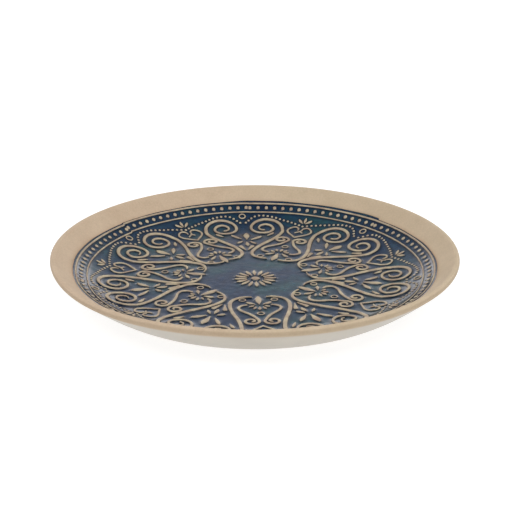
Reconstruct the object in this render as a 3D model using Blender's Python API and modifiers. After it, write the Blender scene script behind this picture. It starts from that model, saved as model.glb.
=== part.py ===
"""Hand painted ceramic plate: a turned stoneware body, its coats of slip and
glaze, and the slip-trailed relief that lies on the blue well.

The plate stands on the XY plane at the world origin, +Z up. Units are metres.
Clay, coats and trailed lines are separate solids, laid on each other with a
small gap, from the clay outwards.
"""

import math

import bmesh
import bpy
from mathutils import Matrix, Vector

# Overall sizes of the finished plate
PLATE_DIAMETER = 0.270
PLATE_HEIGHT = 0.027
FLOOR_HEIGHT = 0.0064        # top of the blue floor above the table
BOWL_WIDTH = 0.0546          # sloping part of the well, floor edge to lip
LIP_THICKNESS = 0.0030
LIP_SLOPE = math.radians(39)
WELL_CURVE = 2.4             # exponent of the well's rise
WALL_CURVE = 1.33            # exponent of the outside wall's rise

# Foot and underside
FOOT_INSET = 0.0355          # lip to the outside of the foot ring
FOOT_WIDTH = 0.0080
FOOT_DEPTH = 0.0022
FOOT_BEVEL = 0.0006

# Coats
GAP = 0.0003                 # between a coat or line and what it lies on
COAT = 0.00045
BARE_RIM_WIDTH = 0.0143      # lip to the edge of the blue glaze
SLIP_LAP = 0.0008            # how far the rim slip laps down the outside
FOOT_BARE_HEIGHT = 0.0016    # clay left bare above the table

# Border of the well
OUTER_LINE_INSET = 0.0018    # glaze edge to the outer ring line
BORDER_WIDTH = 0.0073        # outer ring line to the inner one
OUTER_LINE_WIDTH = 0.0014
INNER_LINE_WIDTH = 0.0010
RING_LINE_HEIGHT = 0.0007

# Trailed pattern
REPEATS = 7
PATTERN_TURN = math.radians(94.3)
PAIR_TURNS = (0.6, -1.0, -0.9, -1.0, -0.3, 2.0, 1.9)   # hand-set, in degrees
OPEN_PAIRS = (0, 3, 4)       # pairs whose two scrolls stay apart at the waist
OPEN_WAIST = 0.0018
SCROLL_WIDTH = 0.0029
SCROLL_HEIGHT = 0.0011
LYRE_WIDTH = 0.0021
LYRE_HEIGHT = 0.0009
HEART_WIDTH = 0.0017
HEART_HEIGHT = 0.0007

# Rosette in the middle
BOSS_RADIUS = 0.0034
BOSS_HEIGHT = 0.0014
PETALS = 16
PETAL_START = 0.0056
PETAL_END = 0.0144
PETAL_HEIGHT = 0.0011
PETAL_FULLNESS = 0.68        # widest part of a petal, as a share of its pitch

STEPS = 8 * REPEATS          # facets round the plate's own turned pieces
BOSS_STEPS = 16

# Worked out from the sizes above
SKIN = GAP + COAT
CLAY_RADIUS = PLATE_DIAMETER / 2 - SKIN
CLAY_TOP = PLATE_HEIGHT - SKIN
CLAY_FLOOR = FLOOR_HEIGHT - SKIN
LIP_RADIUS = LIP_THICKNESS / 2
LIP_CENTRE = Vector((CLAY_RADIUS - LIP_RADIUS, CLAY_TOP - LIP_RADIUS))
LIP_NORMAL = Vector((-math.sin(LIP_SLOPE), math.cos(LIP_SLOPE)))
WELL_TOP = LIP_CENTRE + LIP_NORMAL * LIP_RADIUS
WALL_TOP = LIP_CENTRE - LIP_NORMAL * LIP_RADIUS
FLOOR_RADIUS = PLATE_DIAMETER / 2 - BOWL_WIDTH - LIP_RADIUS
FOOT_RADIUS = PLATE_DIAMETER / 2 - FOOT_INSET
RECESS_RADIUS = FOOT_RADIUS - FOOT_WIDTH
GLAZE_RADIUS = PLATE_DIAMETER / 2 - BARE_RIM_WIDTH
OUTER_LINE_RADIUS = GLAZE_RADIUS - OUTER_LINE_INSET
FIELD_RADIUS = OUTER_LINE_RADIUS - BORDER_WIDTH

for old in list(bpy.data.objects):
    bpy.data.objects.remove(old, do_unlink=True)


def new_collection(name):
    collection = bpy.data.collections.new(name)
    bpy.context.scene.collection.children.link(collection)
    return collection


PLATE = new_collection("ceramic_plate")
SECTIONS = new_collection("line_sections")


def principled(name, colour, roughness):
    """A plain material with one colour (linear RGB) and one roughness."""
    material = bpy.data.materials.new(name)
    material.use_nodes = True
    shader = material.node_tree.nodes["Principled BSDF"]
    shader.inputs["Base Color"].default_value = (*colour, 1.0)
    shader.inputs["Roughness"].default_value = roughness
    shader.inputs["Metallic"].default_value = 0.0
    material.diffuse_color = (*colour, 1.0)
    return material


def add_object(name, data, material, collection=PLATE):
    """Link an object that holds one material of its own."""
    piece = bpy.data.objects.new(name, data)
    collection.objects.link(piece)
    piece.data.materials.clear()
    piece.data.materials.append(principled(name, *material))
    return piece


TAN_SLIP = ((0.54, 0.40, 0.29), 0.75)
RELIEF_SLIP = ((0.47, 0.33, 0.22), 0.55)
BLUE_GLAZE = ((0.022, 0.062, 0.11), 0.12)
WHITE_GLAZE = ((0.60, 0.55, 0.50), 0.35)
BARE_CLAY = ((0.42, 0.33, 0.25), 0.85)


# The clay profile: well, lip, wall and foot

def well_share(radius):
    """0 at the floor's edge, 1 where the well meets the lip."""
    return max(0.0, (radius - FLOOR_RADIUS) / (WELL_TOP.x - FLOOR_RADIUS))


def well_height(radius):
    """Height of the clay inside the plate."""
    rise = WELL_TOP.y - CLAY_FLOOR
    return CLAY_FLOOR + rise * well_share(radius) ** WELL_CURVE


def well_slope(radius):
    """Rise over run of the clay inside the plate."""
    rise = (WELL_TOP.y - CLAY_FLOOR) / (WELL_TOP.x - FLOOR_RADIUS)
    return WELL_CURVE * rise * well_share(radius) ** (WELL_CURVE - 1)


def wall_height(radius):
    """Height of the clay on the outside wall, above the foot's bevel."""
    share = max(0.0, (radius - FOOT_RADIUS) / (WALL_TOP.x - FOOT_RADIUS))
    return FOOT_BEVEL + (WALL_TOP.y - FOOT_BEVEL) * share ** WALL_CURVE


def wall_radius(height):
    """Radius of the outside wall at a height: wall_height the other way."""
    share = (height - FOOT_BEVEL) / (WALL_TOP.y - FOOT_BEVEL)
    return FOOT_RADIUS + (WALL_TOP.x - FOOT_RADIUS) * share ** (1 / WALL_CURVE)


def spaced(start, end, count):
    """count evenly spaced values from start to end."""
    return [start + (end - start) * i / (count - 1) for i in range(count)]


def well_points(start, end, count):
    return [Vector((r, well_height(r))) for r in spaced(start, end, count)]


def wall_points(start, end, count):
    return [Vector((r, wall_height(r))) for r in spaced(start, end, count)]


def lip_points(count):
    """Half circle over the lip, from the well's side to the wall's side."""
    first = math.pi / 2 + LIP_SLOPE
    angles = spaced(first, first - math.pi, count)
    return [LIP_CENTRE + LIP_RADIUS * Vector((math.cos(a), math.sin(a))) for a in angles]


def offset(points, distance):
    """Move a profile outwards, square to its own run."""
    moved = []
    for i, point in enumerate(points):
        before = points[max(i - 1, 0)]
        after = points[min(i + 1, len(points) - 1)]
        run = (after - before).normalized()
        moved.append(point + distance * Vector((-run.y, run.x)))
    return moved


def turned(name, points, material, coat=0.0, steps=STEPS):
    """A profile of (radius, height) points turned about the plate's axis.

    A profile that is one open coat is thickened outwards by Solidify.
    """
    mesh = bpy.data.meshes.new(name)
    count = len(points)
    edges = [(i, i + 1) for i in range(count - 1)]
    closed_ring = coat == 0.0 and points[0].x > 0
    if closed_ring:
        edges.append((count - 1, 0))
    mesh.from_pydata([(p.x, 0.0, p.y) for p in points], edges, [])
    piece = add_object(name, mesh, material)
    screw = piece.modifiers.new("turn", "SCREW")
    screw.steps = steps
    screw.render_steps = steps
    screw.use_merge_vertices = True
    screw.merge_threshold = 0.00001
    screw.use_smooth_shade = True
    if coat > 0:
        shell = piece.modifiers.new("coat", "SOLIDIFY")
        shell.thickness = coat
        shell.offset = 1.0
        shell.use_even_offset = True
    return piece


# Clay body: one turned piece with a rounded lip and a trimmed foot ring

floor = [Vector((0.0, CLAY_FLOOR))]
well = well_points(FLOOR_RADIUS, WELL_TOP.x, 9)[:-1]
wall = wall_points(WALL_TOP.x, FOOT_RADIUS, 7)[1:]
foot = [
    Vector((FOOT_RADIUS - FOOT_BEVEL, 0.0)),
    Vector((RECESS_RADIUS + FOOT_BEVEL, 0.0)),
    Vector((RECESS_RADIUS, FOOT_BEVEL)),
    Vector((RECESS_RADIUS - FOOT_DEPTH, FOOT_DEPTH)),
    Vector((0.0, FOOT_DEPTH)),
]
turned("clay_body", floor + well + lip_points(5) + wall + foot, BARE_CLAY)

# Blue well glaze: floor and slope, up to the bare rim

glazed = [Vector((0.0, CLAY_FLOOR))] + well_points(FLOOR_RADIUS, GLAZE_RADIUS - GAP / 2, 7)
turned("well_glaze", offset(glazed, GAP), BLUE_GLAZE, COAT)

# Rim slip: from the glaze edge over the lip and a little way down the outside

slip_end = wall_radius(WALL_TOP.y - SLIP_LAP)
rim = well_points(GLAZE_RADIUS + GAP / 2, WELL_TOP.x, 3)[:-1]
lap = wall_points(WALL_TOP.x, slip_end, 2)[1:]
turned("rim_slip", offset(rim + lip_points(5) + lap, GAP), TAN_SLIP, COAT)

# Outside glaze: the wall between the slip and the bare foot, and the recess

wall_start = wall_radius(WALL_TOP.y - SLIP_LAP - GAP)
wall_end = wall_radius(FOOT_BARE_HEIGHT)
turned("wall_glaze", offset(wall_points(wall_start, wall_end, 5), GAP), WHITE_GLAZE, COAT)

recess_edge = RECESS_RADIUS - FOOT_DEPTH - SKIN
recess = [Vector((recess_edge, FOOT_DEPTH - GAP)), Vector((0.0, FOOT_DEPTH - GAP))]
turned("base_glaze", recess, WHITE_GLAZE, COAT)


# Ring lines: two trailed lines that frame the border

def coat_top(radius):
    """Height of the blue glaze, with the gap that a line on it keeps."""
    lean = math.hypot(1.0, well_slope(radius))
    return well_height(radius) + (SKIN + GAP) * lean


def ring_line(name, radius, width):
    section = [(0.25, 1.0), (0.5, 0.0), (-0.5, 0.0), (-0.25, 1.0)]
    points = []
    for across, up in section:
        r = radius + across * width
        points.append(Vector((r, coat_top(r) + up * RING_LINE_HEIGHT)))
    turned(name, points, RELIEF_SLIP)


ring_line("outer_ring_line", OUTER_LINE_RADIUS, OUTER_LINE_WIDTH)
ring_line("inner_ring_line", FIELD_RADIUS, INNER_LINE_WIDTH)


# Trailed lines: a ridge drawn flat along its run, then laid on the glaze

def ridge_section(name, flat_top):
    """Closed section, 2 wide and 1 high, that a trailed line is drawn with."""
    curve = bpy.data.curves.new(name, "CURVE")
    curve.dimensions = "2D"
    outline = [(-1.0, 0.0), (1.0, 0.0)]
    if flat_top:
        outline += [(0.5, 1.0), (-0.5, 1.0)]
    else:
        outline += [(0.0, 1.0)]
    spline = curve.splines.new("POLY")
    spline.points.add(len(outline) - 1)
    for point, (x, y) in zip(spline.points, outline):
        point.co = (x, y, 0.0, 1.0)
    spline.use_cyclic_u = True
    section = bpy.data.objects.new(name, curve)
    SECTIONS.objects.link(section)
    section.hide_render = True
    section.display_type = "WIRE"
    return section


BROAD_SECTION = ridge_section("broad_section", True)
FINE_SECTION = ridge_section("fine_section", False)


def trail(name, points, widths, height, section):
    """One trailed line. widths gives its full width at each point."""
    curve = bpy.data.curves.new(name, "CURVE")
    curve.dimensions = "3D"
    curve.twist_mode = "Z_UP"
    curve.bevel_mode = "OBJECT"
    curve.bevel_object = section
    curve.use_fill_caps = True
    spline = curve.splines.new("POLY")
    spline.points.add(len(points) - 1)
    for point, at, width in zip(spline.points, points, widths):
        point.co = (at.x, at.y, 0.0, 1.0)
        point.radius = width / 2
    drawn = bpy.data.objects.new(name + "_drawn", curve)
    SECTIONS.objects.link(drawn)
    graph = bpy.context.evaluated_depsgraph_get()
    mesh = bpy.data.meshes.new_from_object(drawn.evaluated_get(graph))
    bpy.data.objects.remove(drawn, do_unlink=True)
    bpy.data.curves.remove(curve)
    mesh.name = name
    widest = max(widths) / 2
    solid = bmesh.new()
    solid.from_mesh(mesh)
    bmesh.ops.remove_doubles(solid, verts=solid.verts, dist=0.000001)
    for vert in solid.verts:
        up = vert.co.z / widest * height
        vert.co.z = coat_top(math.hypot(vert.co.x, vert.co.y)) + up
    bmesh.ops.recalc_face_normals(solid, faces=solid.faces)
    solid.to_mesh(mesh)
    solid.free()
    mesh.shade_smooth()
    mesh.set_sharp_from_angle(angle=math.radians(35))
    return add_object(name, mesh, RELIEF_SLIP)


def smooth_run(points, per_span):
    """Catmull-Rom run through the points, per_span steps between two."""
    run = []
    for i in range(len(points) - 1):
        before = points[max(i - 1, 0)]
        start, end = points[i], points[i + 1]
        after = points[min(i + 2, len(points) - 1)]
        for step in range(per_span):
            t = step / per_span
            pull = (end - before) * t + (2 * before - 5 * start + 4 * end - after) * t ** 2
            pull += (3 * start - before - 3 * end + after) * t ** 3
            run.append(start + pull / 2)
    return run + [points[-1]]


def spiral(centre, first_angle, sweep, radius_at, count):
    """count points round a centre, where radius_at(0..1) shrinks inwards."""
    points = []
    for share in spaced(0.0, 1.0, count):
        angle = first_angle + sweep * share
        reach = radius_at(share)
        points.append(centre + reach * Vector((math.cos(angle), math.sin(angle))))
    return points


def placed(points, turn, side=1):
    """From a frame whose +Y runs outwards to the plate, mirrored by side=-1."""
    spin = Matrix.Rotation(turn - math.pi / 2, 2)
    return [spin @ Vector((side * p.x, p.y)) for p in points]


def tapered(points, width):
    """Full width along the line, narrower at its two ends."""
    last = len(points) - 1
    ends = {0: 0.55, 1: 0.9, last - 1: 0.95, last: 0.7}
    return [width * ends.get(i, 1.0) for i in range(last + 1)]


def field(x, y):
    """A point given as shares of the field's radius."""
    return Vector((x, y)) * FIELD_RADIUS


# Scroll pairs: an S with a hook by the middle and a spiral at the border

def scroll_points(waist):
    """Right-hand scroll. waist is half the two lines' spacing there."""
    stem = [
        field(0.066, 0.308), field(0.032, 0.334), field(0.009, 0.368), field(0.000, 0.408),
        field(0.009, 0.458), field(0.032, 0.512), field(0.070, 0.570), field(0.116, 0.628),
        field(0.160, 0.688), field(0.199, 0.755),
    ]
    side = Vector((waist, 0.0))
    centre = field(0.104, 0.822) + side
    first = math.radians(-12)
    sweep = math.radians(640)
    coil = spiral(centre, first, sweep, lambda t: FIELD_RADIUS * (0.027 + 0.090 * (1 - t) ** 1.3), 22)
    return [p + side for p in stem] + coil


def pair_turn(pair):
    return PATTERN_TURN + math.tau * pair / REPEATS + math.radians(PAIR_TURNS[pair])


for pair in range(REPEATS):
    waist_gap = OPEN_WAIST if pair in OPEN_PAIRS else GAP
    line = scroll_points((SCROLL_WIDTH + waist_gap) / 2)
    for side_name, side in (("right", 1), ("left", -1)):
        name = f"scroll_{pair + 1}_{side_name}"
        run = placed(line, pair_turn(pair), side)
        trail(name, run, tapered(run, SCROLL_WIDTH), SCROLL_HEIGHT, BROAD_SECTION)


# Lyres and hearts: in each cell between two pairs

def cell_turn(cell):
    """Half way from one pair to the next, round to the first again."""
    turn = pair_turn((cell + 1) % REPEATS)
    if cell == REPEATS - 1:
        turn += math.tau
    return (pair_turn(cell) + turn) / 2


def lyre_points():
    stem = [
        field(0.071, 0.428), field(0.102, 0.436), field(0.122, 0.466), field(0.108, 0.508),
        field(0.074, 0.547), field(0.044, 0.588), field(0.025, 0.630),
    ]
    centre = field(0.064, 0.656)
    first = math.radians(185)
    sweep = math.radians(-345)
    coil = spiral(centre, first, sweep, lambda t: FIELD_RADIUS * (0.014 + 0.028 * (1 - t * t)), 13)
    return smooth_run(stem, 2)[:-1] + coil


def heart_points():
    """From the notch round one lobe to the tip, and back round the other."""
    lobe = [
        field(0.013, 0.836), field(0.016, 0.860), field(0.040, 0.873), field(0.066, 0.856),
        field(0.079, 0.826), field(0.070, 0.790), field(0.036, 0.748),
    ]
    right = smooth_run(lobe, 2)
    left = [Vector((-p.x, p.y)) for p in reversed(right)]
    return right + [field(0.0, 0.718)] + left


for cell in range(REPEATS):
    turn = cell_turn(cell)
    for side_name, side in (("right", 1), ("left", -1)):
        name = f"lyre_{cell + 1}_{side_name}"
        run = placed(lyre_points(), turn, side)
        trail(name, run, tapered(run, LYRE_WIDTH), LYRE_HEIGHT, FINE_SECTION)
    run = placed(heart_points(), turn)
    trail(f"heart_{cell + 1}", run, tapered(run, HEART_WIDTH), HEART_HEIGHT, FINE_SECTION)


# Rosette: a round boss and a ring of leaf-shaped petals

boss_base = coat_top(0.0)
boss = []
for lift in spaced(math.pi / 2, 0.0, 4):
    boss.append(Vector((BOSS_RADIUS * math.cos(lift), boss_base + BOSS_HEIGHT * math.sin(lift))))
boss[0].x = 0.0
boss.append(Vector((0.0, boss_base)))
turned("rosette_boss", boss, RELIEF_SLIP, steps=BOSS_STEPS)

PETAL_SHAPE = ((0.0, 0.35), (0.22, 0.75), (0.60, 1.0), (0.88, 0.8), (1.0, 0.35))
for petal in range(PETALS):
    turn = PATTERN_TURN + math.tau * petal / PETALS
    run = []
    widths = []
    for along, share in PETAL_SHAPE:
        reach = PETAL_START + (PETAL_END - PETAL_START) * along
        widest = PETAL_FULLNESS * math.tau * (PETAL_START + PETAL_END) / 2 / PETALS
        run.append(Vector((0.0, reach)))
        widths.append(widest * share)
    trail(f"rosette_petal_{petal + 1:02d}", placed(run, turn), widths, PETAL_HEIGHT, FINE_SECTION)
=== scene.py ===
import math

import bpy
import numpy as np
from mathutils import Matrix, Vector
from mathutils.kdtree import KDTree


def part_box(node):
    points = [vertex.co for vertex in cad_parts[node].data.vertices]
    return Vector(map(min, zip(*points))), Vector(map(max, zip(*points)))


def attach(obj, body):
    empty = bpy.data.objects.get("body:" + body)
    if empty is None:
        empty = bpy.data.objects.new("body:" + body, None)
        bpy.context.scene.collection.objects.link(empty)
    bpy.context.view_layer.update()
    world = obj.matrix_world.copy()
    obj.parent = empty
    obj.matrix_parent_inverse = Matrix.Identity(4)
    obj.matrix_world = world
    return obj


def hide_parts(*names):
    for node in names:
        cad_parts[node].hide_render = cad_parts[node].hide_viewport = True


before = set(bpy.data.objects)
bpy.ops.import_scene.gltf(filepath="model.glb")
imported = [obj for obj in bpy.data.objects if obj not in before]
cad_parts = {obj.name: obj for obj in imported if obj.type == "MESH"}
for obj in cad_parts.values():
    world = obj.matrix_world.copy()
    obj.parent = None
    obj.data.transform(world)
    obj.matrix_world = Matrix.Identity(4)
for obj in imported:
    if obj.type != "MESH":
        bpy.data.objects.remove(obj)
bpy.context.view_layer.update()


# Stoneware body
# One disc of sandy buff stoneware, pressed on a mould and trimmed at the foot on the wheel.
# The clay shows only on the foot ring; slip and glaze cover the rest of it.

clay_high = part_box("clay_body")[1]
rim_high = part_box("rim_slip")[1]
well_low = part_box("well_glaze")[0]
recess_low, recess_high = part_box("base_glaze")

PLATE_RADIUS = rim_high.x
PLATE_HEIGHT = rim_high.z
COAT = recess_high.z - recess_low.z
SKIN = PLATE_RADIUS - clay_high.x
CLAY_FLOOR = well_low.z + COAT - SKIN
LIP_RADIUS = 0.0015
LIP_SLOPE = math.radians(39)
BOWL_WIDTH = 0.0546
WELL_CURVE = 2.4
WALL_CURVE = 1.33
FOOT_RADIUS = PLATE_RADIUS - 0.0355
FOOT_WIDTH = 0.0080
FOOT_DEPTH = 0.0022
FOOT_BEVEL = 0.0006
WARP = 0.00025
LIP_DIP = 0.0020
LIP_DIP_TURN = math.radians(222)
LIP_DIP_SPREAD = math.radians(26)
LIP_DIP_FALL = 8
BODY_STEPS = 288

lip_centre = np.array([clay_high.x - LIP_RADIUS, clay_high.z - LIP_RADIUS])
lip_normal = np.array([-math.sin(LIP_SLOPE), math.cos(LIP_SLOPE)])
well_top = lip_centre + lip_normal * LIP_RADIUS
wall_top = lip_centre - lip_normal * LIP_RADIUS
floor_radius = PLATE_RADIUS - BOWL_WIDTH - LIP_RADIUS
well_rise = well_top[1] - CLAY_FLOOR


def well_share(radius):
    """0 on the floor, 1 where the well meets the lip."""
    return np.clip((radius - floor_radius) / (well_top[0] - floor_radius), 0.0, None)


def well_height(radius):
    """Height of the clay inside the plate."""
    return CLAY_FLOOR + well_rise * well_share(radius) ** WELL_CURVE


def wall_height(radius):
    """Height of the clay on the outside wall."""
    share = np.clip((radius - FOOT_RADIUS) / (wall_top[0] - FOOT_RADIUS), 0.0, None)
    return FOOT_BEVEL + (wall_top[1] - FOOT_BEVEL) * share ** WALL_CURVE


def well_run(start, end, count):
    """Points along the inside of the plate."""
    radii = np.linspace(start, end, count)
    return np.column_stack([radii, well_height(radii)])


def wall_run(start, end, count):
    """Points along the outside wall."""
    radii = np.linspace(start, end, count)
    return np.column_stack([radii, wall_height(radii)])


def lip_run(count):
    """Half circle over the lip, from the well to the wall."""
    turns = np.linspace(math.pi / 2 + LIP_SLOPE, LIP_SLOPE - math.pi / 2, count)
    return lip_centre + LIP_RADIUS * np.column_stack([np.cos(turns), np.sin(turns)])


def settled(points):
    """Points after drying and firing: the lip is drawn in and down a little, more on one side."""
    x, y, z = points.T
    turn = np.arctan2(y, x)
    rise, reach = z / PLATE_HEIGHT, np.hypot(x, y) / PLATE_RADIUS
    sag = 1 + 0.6 * np.cos(2 * turn + 0.7) + 0.4 * np.cos(3 * turn - 1.1)
    warp = WARP / 2 * sag * rise * reach
    draw = 1 - 0.5 * warp / PLATE_RADIUS
    aside = (turn - LIP_DIP_TURN + math.pi) % math.tau - math.pi
    low_side = LIP_DIP * np.exp(-(aside / LIP_DIP_SPREAD) ** 2) * rise * reach ** LIP_DIP_FALL
    return np.column_stack([x * draw, y * draw, z - (warp + low_side)])


def srgb(code):
    """Linear colour of an sRGB hex code."""
    shares = [int(code[i:i + 2], 16) / 255 for i in (1, 3, 5)]
    return (*[s / 12.92 if s <= 0.04045 else ((s + 0.055) / 1.055) ** 2.4 for s in shares], 1.0)


def add_node(tree, kind, sockets=None, stops=None, **settings):
    """A node with its settings. A socket's value is a number, a colour or another's output."""
    made = tree.nodes.new(kind)
    for name, value in settings.items():
        setattr(made, name, value)
    for name, value in (sockets or {}).items():
        if isinstance(value, bpy.types.NodeSocket):
            tree.links.new(value, made.inputs[name])
        else:
            made.inputs[name].default_value = value
    if stops:
        ramp = made.color_ramp
        while len(ramp.elements) < len(stops):
            ramp.elements.new(0.5)
        for element, (place, colour) in zip(ramp.elements, stops):
            element.position = place
            element.color = colour
    return made


def new_finish(name):
    """An empty material, with its node tree and the object's own coordinates in metres."""
    finish = bpy.data.materials.new(name)
    finish.use_nodes = True
    tree = finish.node_tree
    tree.nodes.clear()
    place = add_node(tree, "ShaderNodeTexCoord").outputs["Object"]
    return finish, tree, place


def make_piece(name, points, faces, finish, slot, nodes=(), **values):
    """A smooth piece on the plate, with a value per point for each named attribute."""
    mesh = bpy.data.meshes.new(name)
    mesh.from_pydata(settled(np.asarray(points)).tolist(), [], faces)
    mesh.validate()
    for attribute, numbers in values.items():
        layer = mesh.attributes.new(attribute, "FLOAT", "POINT")
        layer.data.foreach_set("value", np.asarray(numbers, np.float32))
    mesh.shade_smooth()
    piece = bpy.data.objects.new(name, mesh)
    bpy.context.scene.collection.objects.link(piece)
    piece.data.materials.append(finish)
    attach(piece, "root")
    if nodes:
        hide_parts(*nodes)
    return piece


def turned(profile, steps):
    """A closed profile turned about the plate's axis: its points and faces."""
    points, rings, faces = [], [], []
    turns = np.linspace(0, math.tau, steps, endpoint=False)
    for radius, height in profile:
        start = len(points)
        if radius < 1e-6:
            points.append((0.0, 0.0, height))
            rings.append([start] * steps)
        else:
            points += [(radius * math.cos(t), radius * math.sin(t), height) for t in turns]
            rings.append(list(range(start, start + steps)))
    for ring, after in zip(rings, rings[1:] + rings[:1]):
        if ring[0] == ring[1] and after[0] == after[1]:
            continue
        for i in range(steps):
            j = (i + 1) % steps
            corners = [ring[i], ring[j], after[j], after[i]]
            faces.append([c for k, c in enumerate(corners) if c != corners[k - 1]])
    return np.array(points), faces


# Stoneware fires to a dry, open surface: matt, with iron specks a little under a millimetre.
stoneware, tree, place = new_finish("buff_stoneware")
grit = add_node(tree, "ShaderNodeTexNoise", {"Vector": place, "Scale": 1500.0, "Detail": 3.0})
tone = add_node(tree, "ShaderNodeTexNoise", {"Vector": place, "Scale": 60.0, "Detail": 2.0})
speck = add_node(tree, "ShaderNodeTexVoronoi", {"Vector": place, "Scale": 520.0})
body = add_node(tree, "ShaderNodeValToRGB", {"Fac": tone.outputs["Fac"]},
                [(0.35, srgb("#A98F74")), (0.65, srgb("#BBA387"))])
iron = add_node(tree, "ShaderNodeValToRGB", {"Fac": speck.outputs["Distance"]},
                [(0.10, (1, 1, 1, 1)), (0.22, (0, 0, 0, 1))])
specked = add_node(tree, "ShaderNodeMixRGB", {"Fac": iron.outputs["Color"],
                   "Color1": body.outputs["Color"], "Color2": srgb("#7C6350")})
rough = add_node(tree, "ShaderNodeBump", {"Height": grit.outputs["Fac"], "Strength": 0.5,
                 "Distance": 0.0002})
clay = add_node(tree, "ShaderNodeBsdfPrincipled", {"Base Color": specked.outputs["Color"],
                "Roughness": 0.9, "Normal": rough.outputs["Normal"]})
add_node(tree, "ShaderNodeOutputMaterial", {"Surface": clay.outputs["BSDF"]})

recess_radius = FOOT_RADIUS - FOOT_WIDTH
foot = np.array([
    (FOOT_RADIUS - FOOT_BEVEL, 0.0),
    (recess_radius + FOOT_BEVEL, 0.0),
    (recess_radius, FOOT_BEVEL),
    (recess_radius - FOOT_DEPTH, FOOT_DEPTH),
    (0.0, FOOT_DEPTH),
])
body_profile = np.vstack([
    [(0.0, CLAY_FLOOR)],
    well_run(floor_radius, well_top[0], 24)[:-1],
    lip_run(9),
    wall_run(wall_top[0], FOOT_RADIUS, 20)[1:],
    foot,
])
points, faces = turned(body_profile, BODY_STEPS)
body_piece = make_piece("stoneware_body", points, faces, stoneware, "bare_clay", ["clay_body"])
body_piece.data.set_sharp_from_angle(angle=math.radians(35))


# Rim slip
# A band of sand coloured slip, brushed on over the lip. It runs from the edge of the blue
# glaze, over the rounded lip, and just under a millimetre down the outside.

SLIP_LAP = 0.0008
GLAZE_RADIUS = PLATE_RADIUS - 0.0143
SEAM_TURNS = (-59.8, -8.5, 43.1, 92.5, 141.3, 193.0, 246.5)
EDGE_SHIFTS = (0.0, 0.0, 0.0012, 0.0, -0.0002, 0.0, 0.0)
RUN_ON_END = 128.0
SLIP_STEPS = 360
SLIP_WELL_POINTS = 26
SLIP_TUCK = 0.0016
TUCK_START = 0.001
TUCK_RUN = 0.003
TUCK_DROP = 0.00014
LAP_THINNING = 0.45
COAT_GAP = 0.0001
TINGE = 0.75
TINGE_REACH = 0.0007
TINGE_INSET = 0.006
# Painted shade on the outer face of the lip: the face's width, where the shade starts below the
# lip's top, how far it runs down, and how dark it gets.
OUTER_FACE_WIDTH = 0.0022
LIP_SHADE_START = 0.0004
LIP_SHADE_RUN = 0.0010
LIP_SHADE_DARKEST = 0.42


def wall_radius(height):
    """Radius of the outside wall at a height."""
    share = (height - FOOT_BEVEL) / (wall_top[1] - FOOT_BEVEL)
    return FOOT_RADIUS + (wall_top[0] - FOOT_RADIUS) * share ** (1 / WALL_CURVE)


def offset(profile, distance):
    """A profile moved outwards, square to its own run."""
    run = np.gradient(profile, axis=0)
    run /= np.linalg.norm(run, axis=1)[:, None]
    return profile + np.column_stack([-run[:, 1], run[:, 0]]) * np.reshape(distance, (-1, 1))


def seam_segment(turn):
    """Which of the border's seven lengths a direction lies in."""
    degrees = np.degrees(turn) - SEAM_TURNS[0]
    starts = np.array(SEAM_TURNS) - SEAM_TURNS[0]
    return np.searchsorted(starts, degrees % 360, side="right") - 1


def glaze_edge(turn):
    """Radius of the blue glaze's edge, which wanders and runs wide along one length."""
    wander = 0.00012 * np.sin(9 * turn) + 0.0001 * np.sin(23 * turn + 1)
    degrees = np.degrees(turn) % 360
    fading = np.interp(degrees, (SEAM_TURNS[3], RUN_ON_END), (max(EDGE_SHIFTS), 0.0))
    run_on = np.where(degrees < SEAM_TURNS[3], 0.0, fading)
    return GLAZE_RADIUS + np.array(EDGE_SHIFTS)[seam_segment(turn)] + run_on + wander


def polar(points):
    """Radius and direction of each point, seen from above."""
    return np.hypot(points[:, 0], points[:, 1]), np.arctan2(points[:, 1], points[:, 0])


# Tan slip is fine clay with no glass in it: matt and even, faintly clouded by the brush.
# Its sand grain, under half a millimetre, shows only as a light tooth.
tan_slip, tree, place = new_finish("brushed_tan_slip")
cloud = add_node(tree, "ShaderNodeTexNoise", {"Vector": place, "Scale": 70.0, "Detail": 5.0,
                 "Roughness": 0.6})
sand = add_node(tree, "ShaderNodeTexNoise", {"Vector": place, "Scale": 900.0, "Detail": 3.0})
across = add_node(tree, "ShaderNodeSeparateXYZ", {"Vector": place})
side = add_node(tree, "ShaderNodeMapRange", {"Value": across.outputs["X"], "From Min": -0.05,
                "From Max": 0.03})
pink = add_node(tree, "ShaderNodeValToRGB", {"Fac": cloud.outputs["Fac"]},
                [(0.30, srgb("#C7AF95")), (0.70, srgb("#CFB99F"))])
straw = add_node(tree, "ShaderNodeValToRGB", {"Fac": cloud.outputs["Fac"]},
                 [(0.30, srgb("#C5B195")), (0.70, srgb("#CEBA9F"))])
base = add_node(tree, "ShaderNodeMixRGB", {"Fac": side.outputs["Result"],
                "Color1": pink.outputs["Color"], "Color2": straw.outputs["Color"]})
grain = add_node(tree, "ShaderNodeMapRange", {"Value": sand.outputs["Fac"], "From Min": 0.3,
                 "From Max": 0.7, "To Min": 0.93, "To Max": 1.05})
sandy = add_node(tree, "ShaderNodeVectorMath", {0: base.outputs["Color"],
                 "Scale": grain.outputs["Result"]}, operation="SCALE")
tinge = add_node(tree, "ShaderNodeAttribute", attribute_name="tinge")
iron = add_node(tree, "ShaderNodeMixRGB", {"Fac": tinge.outputs["Fac"],
                "Color1": sandy.outputs["Vector"], "Color2": srgb("#9A6B3E")})
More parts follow.
